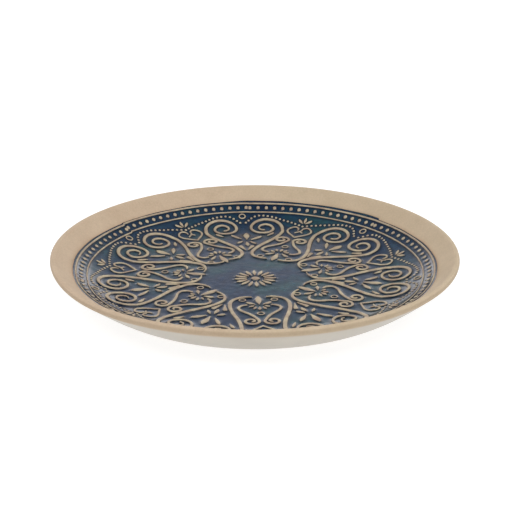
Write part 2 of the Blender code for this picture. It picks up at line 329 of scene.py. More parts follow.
# Painted shade: the outer face of the lip is mixed towards a darker brown (#8A7860), standing in
# for the shade that face falls in.
thin = add_node(tree, "ShaderNodeAttribute", attribute_name="thin")
lap_tint_and_painted_shade = add_node(tree, "ShaderNodeMixRGB", {"Fac": thin.outputs["Fac"],
                "Color1": iron.outputs["Color"], "Color2": srgb("#8A7860")})
tooth = add_node(tree, "ShaderNodeBump", {"Height": sand.outputs["Fac"], "Strength": 0.25,
                 "Distance": 0.0001})
slip = add_node(tree, "ShaderNodeBsdfPrincipled", {"Base Color": lap_tint_and_painted_shade.outputs["Color"],
                "Roughness": 0.78, "Normal": tooth.outputs["Normal"]})
add_node(tree, "ShaderNodeOutputMaterial", {"Surface": slip.outputs["BSDF"]})

slip_end = wall_radius(wall_top[1] - SLIP_LAP)
slip_course = np.vstack([
    well_run(GLAZE_RADIUS - SLIP_TUCK, well_top[0], SLIP_WELL_POINTS)[:-1],
    lip_run(13),
    wall_run(wall_top[0], slip_end, 8)[1:],
])
tuck = np.clip((slip_course[:, 0] - GLAZE_RADIUS - TUCK_START) / TUCK_RUN, 0, 1)
tuck[SLIP_WELL_POINTS:] = 1.0
slip_top = offset(slip_course, SKIN - TUCK_DROP * (1 - tuck))
slip_top[-1] -= (slip_top[-1] - slip_course[-1]) * LAP_THINNING
slip_under = offset(slip_course, COAT_GAP)[::-1]
points, faces = turned(np.vstack([slip_top, slip_under]), SLIP_STEPS)
radii, turns = polar(points)
inside = points[:, 2] < well_height(radii) + 2 * SKIN
near_edge = np.exp(-np.clip(radii - glaze_edge(turns), 0, None) / TINGE_REACH)
sides = 0.35 + 0.65 * np.cos(turns) ** 4
tinge = np.where(inside & (radii < PLATE_RADIUS - TINGE_INSET), TINGE * near_edge * sides, 0.0)
# Painted shade mask: nothing just under the lip's top, darkest about a millimetre lower, on the
# outer face only.
below_lip = np.clip((PLATE_HEIGHT - LIP_SHADE_START - points[:, 2]) / LIP_SHADE_RUN, 0, 1)
thin = np.where(radii > PLATE_RADIUS - OUTER_FACE_WIDTH, LIP_SHADE_DARKEST * below_lip, 0)
make_piece("rim_slip_band", points, faces, tan_slip, "rim_slip", ["rim_slip"], tinge=tinge,
           thin=thin)


# Blue well glaze
# A runny cobalt glaze poured over the floor and the slope of the well. It is thick and dark
# where it pools against the raised lines, and stops in a rounded edge on the slip.

GLAZE_RINGS = 132
GLAZE_STEPS = 720
GLAZE_REACH = GLAZE_RADIUS + 0.0014
TOP_CLEARANCE = 0.0003
EDGE_ROUND = 0.0007
EDGE_DROP = 0.0005

# Cobalt glaze is a tinted glass, smooth and wet looking. Where it is thin the clay warms it
# to teal; where it pools it is nearly black. Its skin rolls over about four millimetres.
cobalt, tree, place = new_finish("cobalt_glaze")
drift = add_node(tree, "ShaderNodeTexNoise", {"Vector": place, "Scale": 34.0, "Detail": 3.0})
break_up = add_node(tree, "ShaderNodeTexNoise", {"Vector": place, "Scale": 260.0, "Detail": 4.0,
                    "Roughness": 0.65})
pooled = add_node(tree, "ShaderNodeAttribute", attribute_name="pool")
tint = add_node(tree, "ShaderNodeValToRGB", {"Fac": drift.outputs["Fac"]},
                [(0.32, srgb("#0E2647")), (0.50, srgb("#14344F")), (0.66, srgb("#1C464E"))])
depth = add_node(tree, "ShaderNodeMapRange", {"Value": break_up.outputs["Fac"], "From Min": 0.3,
                 "From Max": 0.7, "To Min": 0.62, "To Max": 1.32})
broken = add_node(tree, "ShaderNodeVectorMath", {0: tint.outputs["Color"],
                  "Scale": depth.outputs["Result"]}, operation="SCALE")
blue = add_node(tree, "ShaderNodeMixRGB", {"Fac": pooled.outputs["Fac"],
                "Color1": broken.outputs["Vector"], "Color2": srgb("#091A2C")})
skin = add_node(tree, "ShaderNodeTexNoise", {"Vector": place, "Scale": 240.0, "Detail": 2.0})
sheen = add_node(tree, "ShaderNodeMapRange", {"Value": break_up.outputs["Fac"], "From Min": 0.3,
                 "From Max": 0.7, "To Min": 0.07, "To Max": 0.16})
roll = add_node(tree, "ShaderNodeBump", {"Height": skin.outputs["Fac"], "Strength": 0.28,
                "Distance": 0.0004})
glass = add_node(tree, "ShaderNodeBsdfPrincipled", {"Base Color": blue.outputs["Color"],
                 "Roughness": sheen.outputs["Result"], "IOR": 1.52,
                 "Normal": roll.outputs["Normal"]})
add_node(tree, "ShaderNodeOutputMaterial", {"Surface": glass.outputs["BSDF"]})


def well_lean(radius):
    """How much longer a coat's thickness is when it is measured straight up."""
    run = well_top[0] - floor_radius
    slope = WELL_CURVE * well_rise / run * well_share(radius) ** (WELL_CURVE - 1)
    return np.hypot(1.0, slope)


def glaze_top(radius):
    """Height of the blue glaze's surface."""
    return well_height(radius) + SKIN * well_lean(radius)


glaze_radii = np.linspace(0, GLAZE_REACH, GLAZE_RINGS)
under_radii = np.linspace(GLAZE_REACH, 0, 24)
glaze_profile = np.vstack([
    np.column_stack([glaze_radii, glaze_top(glaze_radii)]),
    np.column_stack([under_radii, well_height(under_radii) + COAT_GAP]),
])
points, faces = turned(glaze_profile, GLAZE_STEPS)
radii, turns = polar(points)
top = points[:, 2] > well_height(radii) + TOP_CLEARANCE
past = np.clip((radii - glaze_edge(turns) + EDGE_ROUND) / (2 * EDGE_ROUND), 0, 1)
points[:, 2] -= np.where(top, EDGE_DROP * past ** 2 * well_lean(radii), 0.0)
glaze_piece = make_piece("well_glaze_coat", points, faces, cobalt, "blue_glaze", ["well_glaze"],
                         pool=np.zeros(len(points)))
glaze_points = np.column_stack([points[:, :2], top])


# Outside glaze
# A satin off-white glaze on the wall below the slip, and inside the foot ring. The foot itself
# is wiped clean, so that the plate does not stick to the kiln shelf.

WALL_TUCK = 0.0005
WALL_COAT_DROP = 0.00012
WALL_COAT_ENDS = (0.0002, 0.0003)
LAP_REACH = 0.0006
FOOT_BARE_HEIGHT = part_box("wall_glaze")[0].z
RECESS_LAP = 0.6
RECESS_LAP_REACH = 0.0008
RECESS_BEVEL = np.array([0.0003, 0.0002])

# An off-white tin glaze over buff clay: creamy, softly shining, with slight pinholes.
white_glaze, tree, place = new_finish("off_white_tin_glaze")
cloud = add_node(tree, "ShaderNodeTexNoise", {"Vector": place, "Scale": 45.0, "Detail": 4.0})
cream = add_node(tree, "ShaderNodeValToRGB", {"Fac": cloud.outputs["Fac"]},
                 [(0.3, srgb("#A79F92")), (0.7, srgb("#B2AB9E"))])
lap = add_node(tree, "ShaderNodeAttribute", attribute_name="lap")
lap_tint_and_painted_shade = add_node(tree, "ShaderNodeMixRGB", {"Fac": lap.outputs["Fac"],
                "Color1": cream.outputs["Color"], "Color2": srgb("#BFA98E")})
dimple = add_node(tree, "ShaderNodeTexNoise", {"Vector": place, "Scale": 300.0, "Detail": 2.0})
ripple = add_node(tree, "ShaderNodeBump", {"Height": dimple.outputs["Fac"], "Strength": 0.15,
                  "Distance": 0.0003})
shine = add_node(tree, "ShaderNodeMapRange", {"Value": cloud.outputs["Fac"], "To Min": 0.28,
                 "To Max": 0.42})
satin = add_node(tree, "ShaderNodeBsdfPrincipled", {"Base Color": lap_tint_and_painted_shade.outputs["Color"],
                 "Roughness": shine.outputs["Result"], "Normal": ripple.outputs["Normal"]})
add_node(tree, "ShaderNodeOutputMaterial", {"Surface": satin.outputs["BSDF"]})

wall_start = wall_radius(wall_top[1] - SLIP_LAP + WALL_TUCK)
wall_end = wall_radius(FOOT_BARE_HEIGHT)
wall_course = wall_run(wall_start, wall_end, 26)
wall_lift = np.full(len(wall_course), SKIN - WALL_COAT_DROP)
wall_lift[0], wall_lift[-1] = WALL_COAT_ENDS
wall_profile = np.vstack([offset(wall_course, wall_lift), offset(wall_course, COAT_GAP)[::-1]])
points, faces = turned(wall_profile, BODY_STEPS)
slip_foot = wall_top[1] - SLIP_LAP
lap = np.exp(-np.clip(slip_foot - points[:, 2], 0, None) / LAP_REACH)
clean = np.exp(-np.clip(points[:, 2] - FOOT_BARE_HEIGHT, 0, None) / LAP_REACH)
make_piece("wall_glaze_coat", points, faces, white_glaze, "white_glaze", ["wall_glaze"],
           lap=np.maximum(lap, 0.5 * clean))

recess_edge = recess_high.x
recess_profile = np.array([
    (0.0, FOOT_DEPTH - COAT_GAP),
    (recess_edge, FOOT_DEPTH - COAT_GAP),
    (recess_edge, recess_low.z + RECESS_BEVEL[1]),
    (recess_edge - RECESS_BEVEL[0], recess_low.z),
    (recess_edge * 0.5, recess_low.z),
    (0.0, recess_low.z),
])
points, faces = turned(recess_profile, BODY_STEPS)
lap = np.exp(-(recess_edge - polar(points)[0]) / RECESS_LAP_REACH) * RECESS_LAP
make_piece("recess_glaze_coat", points, faces, white_glaze, "white_glaze", ["base_glaze"],
           lap=lap)


# Border lines
# Two fine lines of slip trailed round the border, one at each side of the bead row. They are
# laid in seven lengths, and step sideways a little where two lengths meet.

OUTER_LINE_RADIUS = GLAZE_RADIUS - 0.0018
FIELD_RADIUS = OUTER_LINE_RADIUS - 0.0073
OUTER_LINE_WIDTH = 0.0012
INNER_LINE_WIDTH = 0.0010
RING_LINE_HEIGHT = 0.0009
LINE_SHIFTS = (0.0, 0.0001, 0.0002, 0.0004, -0.0004, 0.0, 0.0002)
TRAIL_STEP = 0.0008
TRAIL_FOOT = 0.0008
SHOULDER_SHARE = 0.2
FEATHER_DEPTH = 0.00006
ROOT_DEPTH = 0.0003
CREST_SHARES = np.array([0.0, 0.35, 0.62, 0.82, 0.95, 1.0])
FOOT_SHARES = np.array([0.2, 0.42, 0.68, 1.0])
CAP_TURNS = np.radians([18, 38, 56, 72, 84])

# Trailed slip stands up as a rounded bead. The glaze runs off its crest, which stays tan and
# satin, and gathers as a dark wet fillet along both its feet.
trailed_slip, tree, place = new_finish("trailed_slip_under_glaze")
crest = add_node(tree, "ShaderNodeAttribute", attribute_name="crest")
cloud = add_node(tree, "ShaderNodeTexNoise", {"Vector": place, "Scale": 160.0, "Detail": 4.0})
sand = add_node(tree, "ShaderNodeTexNoise", {"Vector": place, "Scale": 1100.0, "Detail": 2.0})
tan = add_node(tree, "ShaderNodeValToRGB", {"Fac": cloud.outputs["Fac"]},
               [(0.32, srgb("#AB927C")), (0.50, srgb("#B6A48B")), (0.68, srgb("#C8B899"))])
uneven = add_node(tree, "ShaderNodeMath", {0: cloud.outputs["Fac"], 1: 0.5},
                  operation="SUBTRACT")
bared = add_node(tree, "ShaderNodeMath", {0: uneven.outputs["Value"], 1: 0.5,
                 2: crest.outputs["Fac"]}, operation="MULTIPLY_ADD")
shown = add_node(tree, "ShaderNodeValToRGB", {"Fac": bared.outputs["Value"]},
                 [(0.35, (0, 0, 0, 1)), (0.80, (1, 1, 1, 1))])
colour = add_node(tree, "ShaderNodeMixRGB", {"Fac": shown.outputs["Color"],
                  "Color1": srgb("#0B1826"), "Color2": tan.outputs["Color"]})
dryness = add_node(tree, "ShaderNodeMapRange", {"Value": shown.outputs["Color"],
                   "To Min": 0.16, "To Max": 0.50})
tooth = add_node(tree, "ShaderNodeBump", {"Height": sand.outputs["Fac"], "Strength": 0.2,
                 "Distance": 0.0001})
raised = add_node(tree, "ShaderNodeBsdfPrincipled", {"Base Color": colour.outputs["Color"],
                  "Roughness": dryness.outputs["Result"], "Normal": tooth.outputs["Normal"]})
add_node(tree, "ShaderNodeOutputMaterial", {"Surface": raised.outputs["BSDF"]})


def lengths_along(run):
    """How far along a run each of its points lies."""
    return np.r_[0, np.cumsum(np.linalg.norm(np.diff(run, axis=0), axis=1))]


def spaced_run(points, widths, step):
    """The run through the points, with a point every step of its length, and its widths."""
    points = np.asarray(points, float)
    along = lengths_along(points)
    count = max(2, int(round(along[-1] / step)) + 1)
    places = np.linspace(0, along[-1], count)
    run = np.column_stack([np.interp(places, along, points[:, k]) for k in (0, 1)])
    return run, np.interp(places, along, widths)


def slip_height(reach, half, height):
    """Height of a trailed bead at a distance from its middle line."""
    share = np.clip(reach / half, 0, 1)
    return height * (SHOULDER_SHARE + (1 - SHOULDER_SHARE) * (1 - share ** 2.4) ** 0.6)


trail_marks = []


def trail(points, widths, height, foot, closed=False, step=TRAIL_STEP):
    """One trailed bead laid on the glaze: points, faces and how bare its crest is."""
    run, widths = spaced_run(points, np.broadcast_to(widths, len(points)), step)
    if closed:
        run, widths = run[:-1], widths[:-1]
        tangent = np.roll(run, -1, axis=0) - np.roll(run, 1, axis=0)
    else:
        tangent = np.gradient(run, axis=0)
    tangent /= np.linalg.norm(tangent, axis=1)[:, None]
    trail_marks.extend(zip(run[:, 0], run[:, 1], widths / 2))
    rows = [(at, way, wide / 2, 0.0, 1.0) for at, way, wide in zip(run, tangent, widths)]
    if not closed:
        for end, sense in ((0, -1), (-1, 1)):
            half = widths[end] / 2
            cap = []
            for turn in CAP_TURNS:
                past = (half + foot) * math.sin(turn)
                at = run[end] + sense * tangent[end] * past
                cap.append((at, tangent[end], half, past, math.cos(turn)))
            rows = cap[::-1] + rows if end == 0 else rows + cap
    found, crests = [], []
    for at, way, half, past, squeeze in rows:
        one_side = np.r_[CREST_SHARES * half, half + FOOT_SHARES * foot]
        across = np.r_[-one_side[:0:-1], one_side] * squeeze
        reach = np.hypot(across, past)
        over = np.clip((reach - half) / foot, 0, 1)
        skirt = SHOULDER_SHARE * height * (1 - over) ** 2.2 - FEATHER_DEPTH * over
        lift = np.where(over > 0, skirt, slip_height(reach, half, height))
        bare = np.where(over > 0, 0.1 * (1 - over) ** 4,
                        1.0 - 0.9 * np.clip((reach / half - 0.6) / 0.4, 0, 1) ** 2)
        plan = at + across[:, None] * np.array([-way[1], way[0]])
        plan = np.vstack([plan, plan[-1], plan[0]])
        lift = np.r_[lift, -ROOT_DEPTH, -ROOT_DEPTH]
        z = glaze_top(np.hypot(plan[:, 0], plan[:, 1])) + lift
        found.append(np.column_stack([plan, z]))
        crests.append(np.r_[bare, 0, 0])
    width = len(found[0])
    faces = []
    last = len(rows) if closed else len(rows) - 1
    for i in range(last):
        one, two = i * width, (i + 1) % len(rows) * width
        for j in range(width):
            k = (j + 1) % width
            faces.append((one + j, one + k, two + k, two + j))
    if not closed:
        faces.append(tuple(range(width))[::-1])
        start = (len(rows) - 1) * width
        faces.append(tuple(range(start, start + width)))
    return np.vstack(found), faces, np.concatenate(crests)


def lay_slip(name, beads, nodes=()):
    """One piece made of trailed beads, which stands for these lines of the plate."""
    points, faces, crests, start = [], [], [], 0
    for found, made, bare in beads:
        points.append(found)
        crests.append(bare)
        faces += [tuple(c + start for c in face) for face in made]
        start += len(found)
    return make_piece(name, np.vstack(points), faces, trailed_slip, "relief_slip", nodes,
                      crest=np.concatenate(crests))


def ring_run(radius):
    """A ring's line, with its small steps at the seams."""
    turns = np.linspace(0, math.tau, 900)
    shift = np.array(LINE_SHIFTS)[seam_segment(turns)]
    reach = radius + shift + 0.00008 * np.sin(11 * turns)
    return np.column_stack([reach * np.cos(turns), reach * np.sin(turns)])


for name, radius, width in (("outer", OUTER_LINE_RADIUS, OUTER_LINE_WIDTH),
                            ("inner", FIELD_RADIUS, INNER_LINE_WIDTH)):
    bead = trail(ring_run(radius), width, RING_LINE_HEIGHT, TRAIL_FOOT, closed=True)
    lay_slip(f"{name}_border_line", [bead], [f"{name}_ring_line"])


# Bead row
# Round drops of slip between the two border lines, set one by one with the trailer's tip.
# Each of the seven lengths has seventeen, so two nearly touch at every seam.

BEAD_RADIUS = FIELD_RADIUS + 0.0038
BEAD_WIDTH = 0.0030
BEAD_HEIGHT = 0.0010
BEADS_A_LENGTH = 17
SEAM_MARGIN = 0.65


def drop(at, width, height, foot=TRAIL_FOOT):
    """A round drop of slip."""
    near = np.array(at) + np.array([0.00005, 0.0])
    return trail([at, near], width, height, foot)


def round_plate(radius, degrees):
    """A place on the plate, by its radius and direction."""
    turn = math.radians(degrees)
    return radius * math.cos(turn), radius * math.sin(turn)


beads = []
for first, after, shift in zip(SEAM_TURNS, SEAM_TURNS[1:] + (SEAM_TURNS[0] + 360,), LINE_SHIFTS):
    for degrees in np.linspace(first + SEAM_MARGIN, after - SEAM_MARGIN, BEADS_A_LENGTH):
        beads.append(drop(round_plate(BEAD_RADIUS + shift, degrees), BEAD_WIDTH, BEAD_HEIGHT))
lay_slip("border_beads", beads)


# Scrolls
# Seven pairs of broad S scrolls, each a single pull of the trailer: a hook at the middle, a
# waist where the two sides meet, and a spiral of nearly two turns under the border.

REPEATS = 7
PATTERN_TURN = 94.3
PAIR_TURNS = (0.6, -1.0, -0.9, -1.0, -0.3, 2.0, 1.9)
WAIST_GAPS = (0.0016, -0.0001, -0.0001, 0.0009, 0.0009, -0.0001, -0.0001)
WAIST_LEANS = (-0.0018, -0.0005, 0.0012, 0.0006, -0.0014, -0.0008, 0.0)
LEAN_END = 0.070
LEAN_RUN = 0.029
SCROLL_WIDTH = 0.0029
SCROLL_HEIGHT = 0.0014
SCROLL_FOOT = 0.0012
PULL_SHARES = (0.0, 0.06, 0.14, 0.45, 0.60, 0.80, 1.0)
PULL_WIDTHS = (0.45, 0.75, 1.0, 1.0, 0.84, 0.74, 0.60)
SCROLL_STEM = (
    (0.088, 0.300), (0.058, 0.311), (0.030, 0.333), (0.009, 0.366), (0.003, 0.408),
    (0.017, 0.458), (0.045, 0.512), (0.087, 0.570), (0.135, 0.628), (0.178, 0.688),
    (0.213, 0.755),
)
COIL_CENTRE = (0.104, 0.822)
COIL_START = -12
COIL_SWEEP = 640
COIL_EYE = 0.027
COIL_REACH = 0.090


def smooth_run(points, per_span):
    """Catmull-Rom run through the points."""
    points = [np.asarray(p, float) for p in points]
    run = []
    for i in range(len(points) - 1):
        before, start = points[max(i - 1, 0)], points[i]
        end, after = points[i + 1], points[min(i + 2, len(points) - 1)]
        for t in np.linspace(0, 1, per_span, endpoint=False):
            pull = (end - before) * t + (2 * before - 5 * start + 4 * end - after) * t ** 2
            pull += (3 * start - before - 3 * end + after) * t ** 3
            run.append(start + pull / 2)
    return np.array(run + [points[-1]])


def spiral(centre, first, sweep, reach_at, count):
    """count points round a centre, where reach_at(0..1) shrinks inwards."""
    shares = np.linspace(0, 1, count)
    turns = np.radians(first + sweep * shares)
    reach = reach_at(shares)
    return np.array(centre) + np.column_stack([reach * np.cos(turns), reach * np.sin(turns)])


def placed(points, degrees, side=1):
    """From a frame whose +Y runs outwards to the plate, mirrored by side=-1."""
    spin = math.radians(degrees) - math.pi / 2
    x, y = side * np.asarray(points)[:, 0], np.asarray(points)[:, 1]
    return np.column_stack([x * math.cos(spin) - y * math.sin(spin),
                            x * math.sin(spin) + y * math.cos(spin)])


def hand_width(run, width, seed):
    """A line's width along its run: it swells and thins with the hand."""
    places = lengths_along(run)
    places /= places[-1]
    swell = 1 + 0.05 * np.sin(9 * places + seed) + 0.04 * np.sin(23 * places + 2.3 * seed)
    ends = np.minimum(1, 0.62 + 6 * np.minimum(places, 1 - places))
    return width * swell * ends


def pulled(run, width, seed):
    """A scroll's width: it starts as a thin tail and thins again in the spiral."""
    places = lengths_along(run)
    return hand_width(run, width, seed) * np.interp(places / places[-1], PULL_SHARES, PULL_WIDTHS)


def pair_turn(pair):
    """Direction of a pair's middle line."""
    return PATTERN_TURN + 360 * pair / REPEATS + PAIR_TURNS[pair]


def leaned(points, lean):
    """Points moved sideways by lean at the waist, and less further out."""
    points = np.array(points, float)
    points[:, 0] += lean * np.clip((LEAN_END - points[:, 1]) / LEAN_RUN, 0, 1.2)
    return points


for pair in range(REPEATS):
    waist = SCROLL_WIDTH / 2 + WAIST_GAPS[pair]
    stem = np.array(SCROLL_STEM) * FIELD_RADIUS + (waist, 0.0)
    centre = np.array(COIL_CENTRE) * FIELD_RADIUS + (waist, 0.0)
    coil = spiral(centre, COIL_START, COIL_SWEEP,
                  lambda t: FIELD_RADIUS * (COIL_EYE + COIL_REACH * (1 - t) ** 1.3), 90)
    line = np.vstack([smooth_run(np.vstack([stem, coil[:1]]), 8)[:-1], coil])
    for side_name, side in (("right", 1), ("left", -1)):
        run = placed(leaned(line, side * WAIST_LEANS[pair]), pair_turn(pair), side)
        widths = pulled(run, SCROLL_WIDTH, pair + 0.5 * side)
        bead = trail(run, widths, SCROLL_HEIGHT, SCROLL_FOOT)
        lay_slip(f"scroll_line_{pair + 1}_{side_name}", [bead], [f"scroll_{pair + 1}_{side_name}"])


# Lyres and hearts
# In each cell between two pairs of scrolls: two thin mirrored S curls, and a heart above them
# whose stroke ends turn in at its notch.

LYRE_WIDTH = 0.0021
LYRE_HEIGHT = 0.0012
LYRE_FOOT = 0.0010
CELL_LEANS = (-0.0018, -0.0004, 0.0, 0.0002, -0.0014, -0.0005, 0.0)
LYRE_STEM = (
    (0.071, 0.428), (0.102, 0.436), (0.122, 0.466), (0.108, 0.508),
    (0.074, 0.547), (0.044, 0.588), (0.025, 0.630),
)
CURL_CENTRE = (0.061, 0.661)
CURL_START = 185
CURL_SWEEP = -430
CURL_EYE = 0.011
CURL_REACH = 0.035
HEART_WIDTH = 0.0016
HEART_HEIGHT = 0.0010
HEART_FOOT = 0.0009
HEART_TIP = (0.0, 0.728)
HEART_LOBE = (
    (0.013, 0.836), (0.016, 0.860), (0.040, 0.873), (0.066, 0.856),
    (0.078, 0.828), (0.066, 0.795), (0.029, 0.757),
)
HEART_TICKS = (
    ((0.0015, 0.0935), (-0.0002, 0.0912), (-0.0022, 0.0895)),
    ((0.0004, 0.0920), (0.0024, 0.0905)),
)
TICK_FOOT = 0.0007


def next_pair_turn(cell):
    """Direction of the pair after a cell, counted on past the full turn."""
    return pair_turn((cell + 1) % REPEATS) + (360 if cell == REPEATS - 1 else 0)


def cell_turn(cell):
    """Direction of a cell's middle line, half way between its two pairs."""
    return (pair_turn(cell) + next_pair_turn(cell)) / 2


curl = spiral(CURL_CENTRE, CURL_START, CURL_SWEEP,
              lambda t: CURL_EYE + CURL_REACH * (1 - t ** 1.3), 48)
lyre = np.vstack([smooth_run(LYRE_STEM + (tuple(curl[0]),), 6)[:-1], curl])
lobe = smooth_run(HEART_LOBE + (HEART_TIP,), 6)
heart = np.vstack([lobe, lobe[-2::-1] * (-1, 1)])
for cell in range(REPEATS):
    turn = cell_turn(cell)
    for side_name, side in (("right", 1), ("left", -1)):
        run = placed(leaned(lyre * FIELD_RADIUS, side * CELL_LEANS[cell]), turn, side)
        bead = trail(run, hand_width(run, LYRE_WIDTH, cell + side), LYRE_HEIGHT, LYRE_FOOT)
        lay_slip(f"lyre_line_{cell + 1}_{side_name}", [bead], [f"lyre_{cell + 1}_{side_name}"])
    run = placed(heart * FIELD_RADIUS, turn)
    strokes = [trail(run, hand_width(run, HEART_WIDTH, cell + 4), HEART_HEIGHT, HEART_FOOT)]
    for tick in HEART_TICKS:
        run = placed(tick, turn)
        strokes.append(trail(run, HEART_WIDTH * 0.8, HEART_HEIGHT * 0.9, TICK_FOOT))
    lay_slip(f"heart_line_{cell + 1}", strokes, [f"heart_{cell + 1}"])


# Rosette
# A round boss and a ring of sixteen leaf-shaped petals, each one pressed out and dragged
# towards the boss. It was set by eye, two millimetres off the middle of the floor.

BOSS_RADIUS = 0.0032
BOSS_HEIGHT = 0.0013
PETALS = 16
PETAL_START = 0.0056
PETAL_END = 0.0140
PETAL_WIDTH = 0.0024
PETAL_HEIGHT = 0.0011
PETAL_FULLEST = 0.58
ROSETTE_AT = (0.0004, -0.0020)
LEAF_FOOT = 0.0009
TOUCH_STEP = 0.0006


def leaf(start, end, width, height, fullest, foot=LEAF_FOOT):
    """A leaf-shaped touch of slip from one point to another, widest at a share of its length."""
    shares = np.linspace(0.06, 0.94, 13)
    bend = math.log(0.5) / math.log(fullest)
    widths = 1.1 * width * np.maximum(0.22, np.sin(math.pi * shares ** bend) ** 0.65)
    start, end = np.array(start), np.array(end)
    return start + (end - start) * shares[:, None], widths, height, foot


def laid(shape, degrees, side=1, middle=(0.0, 0.0)):
    """A touch of slip turned to its direction about a middle, and laid on the glaze."""
    run, widths, height, foot = shape
    return trail(placed(run, degrees, side) + middle, widths, height, foot, step=TOUCH_STEP)


lay_slip("rosette_centre", [drop(ROSETTE_AT, 2 * BOSS_RADIUS, BOSS_HEIGHT)], ["rosette_boss"])
petal_shape = leaf((0.0, PETAL_START), (0.0, PETAL_END), PETAL_WIDTH, PETAL_HEIGHT,
                   PETAL_FULLEST)
for petal in range(PETALS):
    touch = laid(petal_shape, PATTERN_TURN + 360 * petal / PETALS, middle=ROSETTE_AT)
    lay_slip(f"rosette_leaf_{petal + 1:02d}", [touch], [f"rosette_petal_{petal + 1:02d}"])


# Flowers between the scrolls
# On each pair's own line: a ring under the border, a three-petalled flower with sepals, two
# long wedges that point to the waist, and a small leaf in the fork of each scroll.

TOUCH_HEIGHT = 0.0011
FLOWER_LEAVES = (
    ((0.0005, 0.0718), (0.0010, 0.0842), 0.0044, 0.66),
    ((-0.0030, 0.0728), (-0.0100, 0.0815), 0.0026, 0.62),
    ((0.0032, 0.0712), (0.0115, 0.0777), 0.0030, 0.64),
    ((-0.0025, 0.0688), (-0.0066, 0.0652), 0.0023, 0.60),
    ((0.0000, 0.0672), (0.0003, 0.0600), 0.0029, 0.62),
    ((0.0022, 0.0682), (0.0063, 0.0632), 0.0020, 0.60),
)
WEDGE_POINT = (0.0009, 0.0515)
WEDGE_END = (0.0040, 0.0587)
WEDGE_WIDTH = 0.0034
FORK_LEAF = ((0.0155, 0.0785), (0.0208, 0.0838), 0.0023, 0.6)
PAIR_RING_AT = (0.0, 0.1078)
PAIR_RING_RADIUS = 0.0022
PAIR_RING_WIDTH = 0.0010
SMALL_RING_HEIGHT = 0.0008
SMALL_FOOT = 0.0006


def wedge(point, end, width, height):
    """A touch of slip dragged out from a blunt end to a point."""
    shares = np.linspace(0, 1, 9)
    run = point + (end - point) * shares[:, None]
    return run, width * (0.15 + 0.85 * shares), height, LEAF_FOOT


def small_ring(at, mean_radius, width, degrees, bareness=1.0):
    """A little closed ring of slip. The less bare it is, the more the glaze covers it."""
    turns = np.linspace(0, math.tau, 25)
    run = np.array(at) + mean_radius * np.column_stack([np.cos(turns), np.sin(turns)])
    points, faces, crests = trail(placed(run, degrees), width, SMALL_RING_HEIGHT, SMALL_FOOT,
                                  closed=True, step=TOUCH_STEP)
    return points, faces, crests * bareness


for pair in range(REPEATS):
    turn = pair_turn(pair)
    touches = [small_ring(PAIR_RING_AT, PAIR_RING_RADIUS, PAIR_RING_WIDTH, turn)]
    for start, end, width, fullest in FLOWER_LEAVES:
        touches.append(laid(leaf(start, end, width, TOUCH_HEIGHT, fullest), turn))
    for side in (1, -1):
        ends = leaned([WEDGE_POINT, WEDGE_END], side * WAIST_LEANS[pair])
        touches.append(laid(wedge(*ends, WEDGE_WIDTH, TOUCH_HEIGHT), turn, side))
        start, end, width, fullest = FORK_LEAF
        touches.append(laid(leaf(start, end, width, TOUCH_HEIGHT, fullest), turn, side))
    lay_slip(f"pair_flower_{pair + 1}", touches)


# Palmettes and buds in the cells
# A fan of drops under each lyre, little rings round it, and a three-petalled bud between the
# heart and the border.

PALMETTE_LEAVES = (
    ((0.0, 0.0470), (0.0, 0.0335), 0.0042, 0.60),
    ((0.0024, 0.0470), (0.0080, 0.0430), 0.0025, 0.66),
    ((-0.0024, 0.0470), (-0.0080, 0.0430), 0.0025, 0.66),
    ((0.0032, 0.0492), (0.0066, 0.0505), 0.0017, 0.62),
    ((-0.0032, 0.0492), (-0.0066, 0.0505), 0.0017, 0.62),
    ((0.0022, 0.0509), (0.0040, 0.0542), 0.0021, 0.62),
    ((-0.0022, 0.0509), (-0.0040, 0.0542), 0.0021, 0.62),
    ((0.0, 0.0508), (0.0002, 0.0555), 0.0023, 0.60),
)
CELL_RINGS = ((0.0, 0.0613), (0.0103, 0.0388), (-0.0103, 0.0388))
CELL_RING_RADIUS = 0.0021
CELL_RING_WIDTH = 0.0009
CELL_RING_BARENESS = 0.85
BUD_CENTRE = (0.0, 0.1015)
BUD_FAN = (-45, 0, 45)
BUD_START = 0.0012
BUD_LENGTH = 0.0058
BUD_WIDTH = 0.0020
BUD_HEIGHT = 0.0010
BUD_FULLEST = 0.6

for cell in range(REPEATS):
    turn = cell_turn(cell)
    lean = CELL_LEANS[cell]
    touches = [small_ring(at, CELL_RING_RADIUS, CELL_RING_WIDTH, turn, CELL_RING_BARENESS)
               for at in leaned(CELL_RINGS, lean)]
    for start, end, width, fullest in PALMETTE_LEAVES:
        ends = leaned([start, end], lean)
        touches.append(laid(leaf(*ends, width, TOUCH_HEIGHT, fullest), turn))
    for fan in BUD_FAN:
        way = np.array([math.sin(math.radians(fan)), math.cos(math.radians(fan))])
        start = np.array(BUD_CENTRE) + way * BUD_START
        end = start + way * BUD_LENGTH
        petal = leaf(start, end, BUD_WIDTH, BUD_HEIGHT, BUD_FULLEST, SMALL_FOOT)
        touches.append(laid(petal, turn))
    lay_slip(f"cell_palmette_{cell + 1}", touches)


# Garlands
# Two strings of small drops in each cell. Each hangs from the border by the ring of its pair,
# goes round the spiral, and meets the other one at the bud.

GARLAND = (
    (1.2, 0.1008), (2.4, 0.1031), (3.8, 0.1060), (5.2, 0.1078), (7.0, 0.1086), (8.7, 0.1085),
    (10.7, 0.1080), (12.4, 0.1073), (14.2, 0.1062), (16.0, 0.1050), (18.7, 0.1036),
    (22.4, 0.1014), (25.7, 0.0994),
)
HALF_CELL = 180 / REPEATS
GARLAND_DROP = 0.0020
GARLAND_HEIGHT = 0.0008
GARLAND_PITCH = 0.0033

